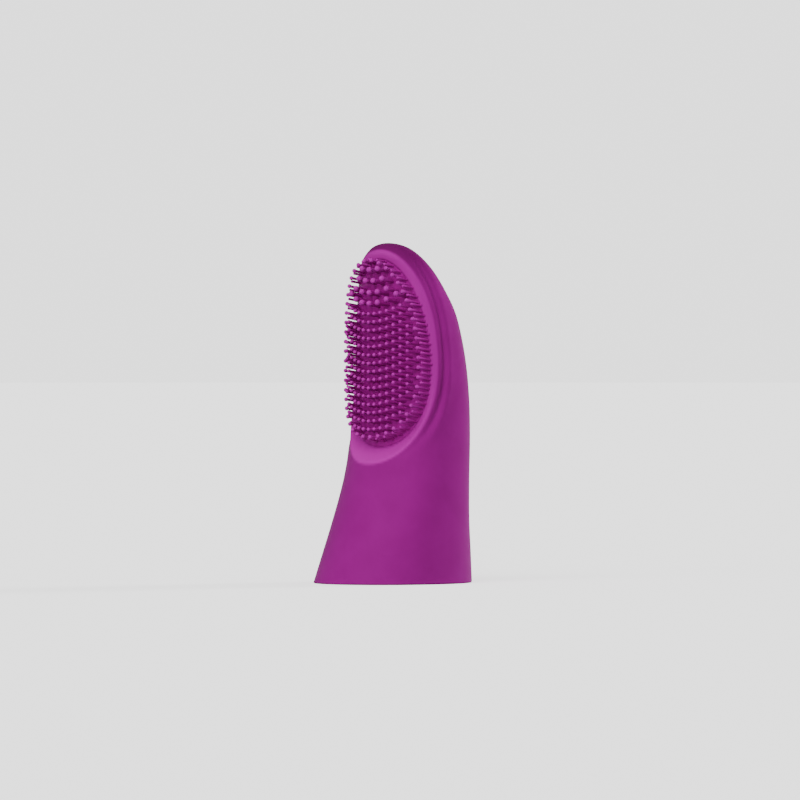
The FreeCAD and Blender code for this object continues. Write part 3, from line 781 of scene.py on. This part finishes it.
# ---------------------------------------------------------------- the sleeve
@dataclass
class FingerSleeve:
    """Silicone sleeve: outer skin with the rim round the pad, mouth, finger pocket and capsule seat.

    The edge_ fields say how far the pad's seat reaches past the oval of the bristles, and the _slope fields
    how wide the rim's inner face is there. The collar_ fields shape the ring round the button's opening.
    """

    oval: BristleOval
    capsule_y: float
    cap_low: float
    button_z: float
    guide_z: float
    height: float = 57.6
    rounding: float = 0.3
    front_columns: int = 220
    back_columns: int = 100
    rows: int = 255
    first_depth: float = 0.04
    edge_side: float = 0.22
    edge_top: float = 0.0
    edge_bottom: float = 1.6
    side_slope: float = 1.4
    top_slope: float = 1.4
    bottom_slope: float = 2.7
    seat_depth: float = 0.35
    seat_blend: float = 0.35
    swell_start: float = -0.2
    swell_blend: float = 0.6
    swell_reach: float = 0.62
    swell_loss: float = 0.85
    tip_margin: float = 0.6
    tip_blend: float = 2.5
    # strength of the painted highlight on the rim's inner face at the sides, below and above the pad
    side_highlight: float = 0.6
    lower_highlight: float = 0.4
    upper_highlight: float = 0.2
    collar_height: float = 0.22
    collar_gap: float = 0.7
    collar_width: float = 0.5
    button_opening: float = 3.2
    guide_opening: float = 0.52
    pocket_rows: int = 24
    pocket_corner: float = 0.8
    corner_flare: float = 0.35
    smooth_share: float = 0.7
    seat_opening: float = 5.0
    capsule_radius: float = 6.22
    capsule_height: float = 16.5
    capsule_dome: float = 7.02
    clearance: float = 0.02
    cut_from: float = 4.5
    cut_to: float = 14.0
    cut_columns: int = 96
    # height, half width, half depth, forward shift from the finger axis, squareness of the front
    stations: tuple = (
        (57.6, 0.0, 0.0, 6.9, 2.0),
        (56.8, 3.55, 2.35, 6.3, 2.0),
        (55.2, 5.5, 3.75, 5.6, 2.0),
        (53.1, 6.8, 4.85, 4.6, 2.1),
        (49.6, 7.95, 6.2, 3.2, 2.2),
        (45.6, 8.9, 7.4, 2.0, 2.2),
        (41.6, 9.45, 8.1, 1.4, 2.2),
        (37.6, 9.8, 8.55, 0.95, 2.2),
        (31.0, 10.1, 9.2, 0.7, 2.2),
        (24.2, 10.3, 9.9, 1.14, 2.1),
        (17.4, 10.8, 10.6, 2.2, 2.0),
        (10.6, 11.4, 11.9, 3.56, 2.0),
        (5.0, 12.0, 13.3, 4.65, 2.0),
        (0.0, 12.55, 14.5, 5.65, 2.0),
    )
    # height, half width, half depth, forward shift
    pocket: tuple = (
        (0.0, 10.4, 12.3, 5.65),
        (10.6, 9.3, 9.5, 3.5),
        (16.6, 8.0, 7.9, 2.1),
        (19.6, 6.2, 6.1, 0.9),
    )
    # place outside the pad's edge, height and width of each swell of the rim
    swells: tuple = ((1.8, 0.18, 0.8), (3.15, -0.26, 0.55), (4.3, 0.16, 0.8))

    @property
    def columns(self) -> int:
        """Number of points in a ring."""
        return self.front_columns + self.back_columns

    def turns(self) -> np.ndarray:
        """Angle of every column, starting at the front and closer together there."""
        front = np.linspace(-math.pi, 0, self.front_columns, endpoint=False)
        back = np.linspace(0, math.pi, self.back_columns, endpoint=False)
        angles = np.concatenate([front, back])
        return np.roll(angles, -self.front_columns // 2)

    def ring(self, wide: Any, deep: Any, power: Any = 2.0) -> tuple[np.ndarray, np.ndarray]:
        """Points of a squared ellipse round its centre.

        Args:
            wide: half width.
            deep: half depth.
            power: squareness of the front half.

        Returns:
            X and Y.
        """
        angle = self.turns()
        c = np.cos(angle)
        s = np.sin(angle)
        share = np.where(s < 0, 2.0 / power, 1.0)
        return wide * np.sign(c) * np.abs(c) ** share, deep * np.sign(s) * np.abs(s) ** share

    def skin(self) -> tuple[np.ndarray, np.ndarray]:
        """Outer skin from the tip down to the rounding of the mouth.

        Returns:
            Points as (rows, columns, 3), and the strength of the painted highlight on the rim's inner face
            at each, 0 to 1.
        """
        table = np.array(self.stations)
        depth = np.sqrt(self.height - table[:, 0])
        last = math.sqrt(self.height - self.rounding)
        w = np.linspace(self.first_depth, last, self.rows)
        wide, deep, shift, power = (smooth_lookup(depth, table[:, k], w) for k in (1, 2, 3, 4))
        rings = []
        for i in range(self.rows):
            x, y = self.ring(wide[i], deep[i], power[i])
            z = np.full_like(x, self.height - w[i] ** 2)
            rings.append(np.stack([x, self.oval.axis_y - shift[i] + y, z], axis=1))
        return self.press_rim(np.array(rings))

    def swell(self, out: np.ndarray, lower: np.ndarray, z: np.ndarray) -> np.ndarray:
        """Height of the swells round the rim, fading out below the pad and at the tip.

        Args:
            out: distances outside the pad's edge.
            lower: 1 straight below the pad, 0 at its sides and above.
            z: heights of the points.

        Returns:
            How far each point is raised.
        """
        raised = sum(high * np.exp(-(((out - at) / width) ** 2)) for at, high, width in self.swells)
        raised = raised * smoothstep((out - self.swell_start) / self.swell_blend)
        raised = raised * smoothstep((self.height - self.tip_margin - z) / self.tip_blend)
        return raised * (1 - self.swell_loss * smoothstep(1.6 * lower))

    def collar(self, x: np.ndarray, y: np.ndarray, z: np.ndarray) -> np.ndarray:
        """Height of the ring round the button's opening, on the back of the sleeve.

        Args:
            x: X of the points.
            y: Y of the points.
            z: heights of the points.

        Returns:
            How far each point is raised.
        """
        gap = np.hypot(x, z - self.button_z) - self.button_opening - self.collar_gap
        return self.collar_height * np.exp(-((gap / self.collar_width) ** 2)) * (y > self.oval.axis_y)

    def press_rim(self, skin: np.ndarray) -> tuple[np.ndarray, np.ndarray]:
        """Presses the seat of the pad into the skin and raises the rim round it.

        Args:
            skin: plain skin as (rows, columns, 3).

        Returns:
            The shaped skin, and the strength of the painted highlight on the rim's inner face at each point.
        """
        x, y, z = skin[..., 0], skin[..., 1], skin[..., 2]
        step = np.hypot(np.roll(x, -1, 1) - x, np.roll(y, -1, 1) - y)
        total = step.sum(1, keepdims=True)
        run = np.concatenate([np.zeros((len(x), 1)), np.cumsum(step, 1)[:, :-1]], 1)
        arc = np.minimum(run, total - run)
        out, up = self.oval.distance(arc, z, self.edge_side, self.edge_top, self.edge_bottom)
        lower = np.clip(-up, 0, 1) ** 1.5
        upper = np.clip(up, 0, 1) ** 2
        slope = self.side_slope + (self.bottom_slope - self.side_slope) * lower
        slope = slope + (self.top_slope - self.side_slope) * upper
        rise = (np.clip(out / slope, 0, 1) ** 1.5 + smoothstep(out / slope)) / 2
        floor = self.oval.floor_y(x, self.seat_depth * smoothstep(-out / self.seat_blend))
        normal_x = np.roll(y, -1, 1) - np.roll(y, 1, 1)
        normal_y = np.roll(x, 1, 1) - np.roll(x, -1, 1)
        size = np.maximum(np.hypot(normal_x, normal_y), 1e-9)
        near = smoothstep((total / 2 * self.swell_reach - arc) / 1.5)
        raised = self.swell(out, lower, z) * near + self.collar(x, y, z)
        front = y < self.oval.axis_y
        inside = np.where(front, 1 - rise, 0.0)
        shaped = skin.copy()
        shaped[..., 0] = x + raised * normal_x / size
        shaped[..., 1] = y * (1 - inside) + floor * inside + raised * normal_y / size
        # painted highlight on the rim's inner face, strongest below the pad
        face = smoothstep((out - 0.1) / 0.4) * (1 - smoothstep((out - slope - 0.1) / 0.5)) * front
        return shaped, face * (self.side_highlight + self.lower_highlight * lower + self.upper_highlight * upper)

    def level_ring(self, wide: float, deep: float, centre_y: float, z: float) -> np.ndarray:
        """Points of one level ring.

        Args:
            wide: half width.
            deep: half depth.
            centre_y: Y of its centre.
            z: its height.

        Returns:
            Points as (columns, 3).
        """
        x, y = self.ring(wide, deep)
        return np.stack([x, centre_y + y, np.full_like(x, z)], axis=1)

    def mouth(self) -> list[np.ndarray]:
        """Rings round the mouth's lip, from the skin's foot to the start of the pocket."""
        _, wide, deep, shift, _ = self.stations[-1]
        centre = self.oval.axis_y - shift
        rings = []
        for c, s in quarter(5, 1):
            inset = self.rounding * (1 - c)
            rings.append(self.level_ring(wide - inset, deep - inset, centre, self.rounding * (1 - s)))
        _, wide, deep, shift = self.pocket[0]
        centre = self.oval.axis_y - shift
        for c, s in quarter(4):
            growth = self.rounding * (1 - s)
            rings.append(self.level_ring(wide + growth, deep + growth, centre, self.rounding * (1 - c)))
        return rings

    def finger_pocket(self) -> list[np.ndarray]:
        """Rings up the wall of the finger pocket and round its upper corner."""
        table = np.array(self.pocket)
        end, wide, deep, shift = self.pocket[-1]
        corner = self.pocket_corner
        heights = np.linspace(1.0, end - corner, self.pocket_rows)
        straight = np.array([np.interp(heights, table[:, 0], table[:, k]) for k in (1, 2, 3)])
        smooth = np.array([smooth_lookup(table[:, 0], table[:, k], heights) for k in (1, 2, 3)])
        sizes = straight + (smooth - straight) * self.smooth_share
        rings = [self.level_ring(a, b, self.oval.axis_y - c, z) for z, a, b, c in zip(heights, *sizes)]
        for c, s in quarter(5, 1):
            growth = self.corner_flare - corner * (1 - c)
            centre = self.oval.axis_y - shift
            rings.append(self.level_ring(wide + growth, deep + growth, centre, end - corner * (1 - s)))
        return rings

    def capsule_seat(self) -> list[np.ndarray]:
        """Rings through the opening above the pocket and up the seat of the capsule."""
        start = self.pocket[-1][0]
        hole = self.seat_opening
        seat = self.capsule_radius
        low = self.cap_low - self.clearance
        dome = self.cap_low + self.capsule_height
        steps = [(hole + self.rounding, start), (hole, start + self.rounding), (hole, low), (seat, low),
                 (seat, (low + dome) / 2)]
        steps += [(seat * c, dome + self.capsule_dome * s) for c, s in quarter(9)[:-1]]
        return [self.level_ring(radius, radius, self.capsule_y, z) for radius, z in steps]

    def build(self) -> bpy.types.Object:
        """Makes the sleeve as one closed skin and opens it for the button and the light guide."""
        skin, face = self.skin()
        rings = list(skin) + self.mouth() + self.finger_pocket() + self.capsule_seat()
        points = np.vstack(rings)
        count = len(points)
        apex = (0.0, self.oval.axis_y - self.stations[0][3], self.height)
        dome = (0.0, self.capsule_y, self.cap_low + self.capsule_height + self.capsule_dome)
        faces = grid_faces(len(rings), self.columns)
        faces += fan(count, 0, self.columns) + fan(count + 1, count - self.columns, self.columns)
        piece = mesh_piece("sleeve_skin", np.vstack([points, [apex, dome]]), faces)
        # strength of the painted highlight on the rim's inner face, kept on the skin's points
        tones = np.zeros(count + 2, dtype=np.float32)
        tones[:face.size] = face.ravel()
        piece.data.attributes.new(RIM_HIGHLIGHT, "FLOAT", "POINT").data.foreach_set("value", tones)
        for name, radius, z in (("button", self.button_opening, self.button_z),
                                ("guide", self.guide_opening, self.guide_z)):
            self.open_hole(piece, name, radius, z)
        return piece

    def open_hole(self, piece: bpy.types.Object, name: str, radius: float, z: float) -> None:
        """Cuts a round hole through the back of the sleeve.

        Args:
            piece: the sleeve.
            name: name of the cutter.
            radius: radius of the hole.
            z: its height.
        """
        turns = circle(self.cut_columns)
        count = len(turns)
        points = [(radius * c, self.capsule_y + y, z + radius * s) for y in (self.cut_from, self.cut_to)
                  for c, s in turns]
        faces = grid_faces(2, count) + [list(range(count)), list(range(count, 2 * count))]
        cutter = mesh_piece(name + "_cutter", np.array(points), faces)
        modifier = piece.modifiers.new(name, "BOOLEAN")
        modifier.operation = "DIFFERENCE"
        modifier.solver = "EXACT"
        modifier.object = cutter
        bake_modifiers(piece)
        bpy.data.objects.remove(cutter)


def bake_modifiers(piece: bpy.types.Object) -> None:
    """Applies every modifier of a piece to its mesh."""
    graph = bpy.context.evaluated_depsgraph_get()
    mesh = bpy.data.meshes.new_from_object(piece.evaluated_get(graph))
    piece.modifiers.clear()
    piece.data = mesh


# ---------------------------------------------------------------- the button
@dataclass
class PowerButton:
    """Soft button cap with a shallow dish and a raised ring, on its stem and flange.

    Heights of the outline are measured along Y from the middle of the capsule.
    """

    centre_y: float
    z: float
    cap_radius: float = 2.9
    stem_radius: float = 1.2
    foot: float = 4.4
    cap_low: float = 6.75
    cap_high: float = 8.6
    dish: float = 8.5
    low_corner: float = 0.15
    high_corner: float = 0.5
    around: int = 96

    def outline(self) -> list[Pair]:
        """Radius and height from the foot of the flange over the cap to the edge of the dish's middle."""
        points = [(1.7, self.foot), (1.8, 4.5), (1.8, 4.65), (1.7, 4.75), (self.stem_radius, 4.75)]
        points.append((self.stem_radius, self.cap_low))
        radius = self.cap_radius
        corner = self.low_corner
        points += [(radius - corner * (1 - s), self.cap_low + corner * (1 - c)) for c, s in quarter(4)]
        corner = self.high_corner
        points += [(radius - corner * (1 - c), self.cap_high - corner * (1 - s)) for c, s in quarter(6)]
        points += [(2.2, 8.63), (1.95, 8.66), (1.75, 8.74), (1.6, 8.78), (1.45, 8.74), (1.3, 8.62)]
        return points + [(1.0, 8.55), (0.5, 8.51)]

    def build(self) -> bpy.types.Object:
        """Makes the button."""
        outline = self.outline()
        points = [(radius * c, self.centre_y + y, self.z + radius * s) for radius, y in outline
                  for c, s in circle(self.around)]
        count = len(points)
        points += [(0.0, self.centre_y + y, self.z) for y in (self.foot, self.dish)]
        faces = grid_faces(len(outline), self.around)
        faces += fan(count, 0, self.around) + fan(count + 1, count - self.around, self.around)
        return mesh_piece("button_cap", np.array(points), faces)


# ---------------------------------------------------------------- stage
@dataclass
class Studio:
    """Pale floor, soft lights and the camera, which looks past the finger's axis a little to the left."""

    axis_y: float
    azimuth: float = 42.0
    elevation: float = 0.6
    distance: float = 1.5
    view_width: float = 0.136
    aim_z: float = 30.94
    aim_left: float = 2.55
    floor_radius: float = 4000.0
    floor_columns: int = 128
    floor_shade: float = 0.85
    floor_glow: float = 1.4
    air_strength: float = 0.3
    band_strength: float = 1.8

    @property
    def aim(self) -> Vector:
        """Point that the camera and the lamps face, in metres."""
        left = self.direction(self.azimuth - 90, 0) * self.aim_left
        return (Vector((0, self.axis_y, self.aim_z)) + left) * MM

    def direction(self, azimuth: float, elevation: float) -> Vector:
        """Unit vector from the object towards a place round it.

        Args:
            azimuth: degrees; 0 is in front of the bristles.
            elevation: degrees above the horizon.

        Returns:
            The direction.
        """
        a = math.radians(azimuth)
        e = math.radians(elevation)
        return Vector((math.sin(a) * math.cos(e), -math.cos(a) * math.cos(e), math.sin(e)))

    def camera(self) -> None:
        """Places the camera with a long lens."""
        data = bpy.data.cameras.new("camera")
        data.lens = data.sensor_width * self.distance / self.view_width
        data.clip_start = 0.05
        data.clip_end = 20.0
        camera = bpy.data.objects.new("camera", data)
        back = self.direction(self.azimuth, self.elevation)
        camera.location = self.aim + back * self.distance
        camera.rotation_euler = (-back).to_track_quat("-Z", "Y").to_euler()
        bpy.context.scene.collection.objects.link(camera)
        bpy.context.scene.camera = camera

    def lamp(self, name: str, azimuth: float, elevation: float, softness: float, strength: float) -> None:
        """Adds a far soft lamp that faces the object, lights the floor evenly and leaves no highlight.

        Args:
            name: name of the lamp.
            azimuth: degrees round the object.
            elevation: degrees above the horizon.
            softness: how wide the lamp looks, in degrees.
            strength: watts on each square metre that faces it.
        """
        data = bpy.data.lights.new(name, "SUN")
        data.angle = math.radians(softness)
        data.energy = strength
        lamp = bpy.data.objects.new(name, data)
        towards = self.direction(azimuth, elevation)
        lamp.location = self.aim + towards
        lamp.rotation_euler = (-towards).to_track_quat("-Z", "Y").to_euler()
        lamp.visible_glossy = False
        bpy.context.scene.collection.objects.link(lamp)

    def floor(self) -> None:
        """Adds the pale floor, which takes the object's shadow but throws no light back on it."""
        ring = [(self.floor_radius * c, self.floor_radius * s, 0.0) for c, s in circle(self.floor_columns)]
        floor = mesh_piece("floor", np.array(ring), [list(range(self.floor_columns))])
        net = Net(bpy.data.materials.new("pale_floor"))
        constants = {
            "Base Color": (self.floor_shade, self.floor_shade, self.floor_shade, 1.0),
            "Roughness": 0.9,
            "Specular IOR Level": 0.0,
            "Emission Color": (1.0, 1.0, 1.0, 1.0),
            "Emission Strength": self.floor_glow,
        }
        for key, value in constants.items():
            net.feed(net.shader.inputs[key], value)
        floor.data.materials.append(net.owner)
        floor.visible_diffuse = False
        floor.visible_glossy = False

    def air(self) -> None:
        """Adds the surroundings: dim air with a pale band along the horizon."""
        net = Net(bpy.data.worlds.new("studio_air"))
        place = net.wire("ShaderNodeTexCoord", "Generated")
        height = net.wire("ShaderNodeSeparateXYZ", "Z", None, {0: place})
        band = height.step(-0.04, -0.02) * (1.0 - height.step(0.04, 0.08))
        net.feed(net.shader.inputs["Strength"], band * self.band_strength + self.air_strength)
        net.feed(net.shader.inputs["Color"], (1.0, 1.0, 1.0, 1.0))
        bpy.context.scene.world = net.owner

    def build(self) -> None:
        """Makes the whole studio."""
        self.camera()
        self.floor()
        self.air()
        self.lamp("key", self.azimuth - 22, elevation=36, softness=56, strength=2.75)
        self.lamp("edge", self.azimuth + 124, elevation=12, softness=16, strength=3.6)


# ---------------------------------------------------------------- assembly
def dress(piece: bpy.types.Object, material: bpy.types.Material) -> None:
    """Gives a piece one material on every slot."""
    if not piece.data.materials:
        piece.data.materials.append(material)
    for slot in piece.material_slots:
        slot.link = "OBJECT"
        slot.material = material


def settle(piece: bpy.types.Object, node: str, body: str, slot: str, materials: dict) -> None:
    """Dresses a piece, puts it on its body and lets it stand for a CAD node.

    Args:
        piece: the piece.
        node: the CAD node that it replaces.
        body: the body that it rides on.
        slot: its material slot.
        materials: materials by slot.
    """
    dress(piece, materials[slot])
    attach(piece, body)
    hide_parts(node)
    LOG.info("%s: %d faces, rides on %s", piece.name, len(piece.data.polygons), body)


def middle(node: str) -> Vector:
    """Middle of a CAD node's box, in millimetres."""
    low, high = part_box(node)
    return (low + high) / (2 * MM)


def main() -> None:
    """Builds every class in order and dresses the CAD nodes."""
    logging.basicConfig(level=logging.INFO, format="%(name)s: %(message)s")
    capsule_y = middle("battery_cell").y
    axis_y = capsule_y + CAPSULE_SHIFT
    button_z = middle("power_button").z
    cap_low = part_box("capsule_cap")[0].z / MM
    oval = BristleOval(axis_y)
    sleeve = FingerSleeve(oval, capsule_y, cap_low, button_z, middle("light_guide").z)
    Studio(axis_y).build()
    materials = {name: finish.build() for name, finish in finishes(sleeve.height, oval).items()}
    for entry in frame["record"]["subparts"]:
        dress(frame["nodes"][entry["node"]], materials[entry["material_slot"]])
    settle(sleeve.build(), "finger_sleeve", "brush", "purple_silicone", materials)
    settle(BristlePad(oval).build(), "bristle_pad", "brush", "bristle_silicone", materials)
    settle(PowerButton(capsule_y, button_z).build(), "power_button", "button", "button_silicone", materials)


if __name__ == "__main__":
    main()
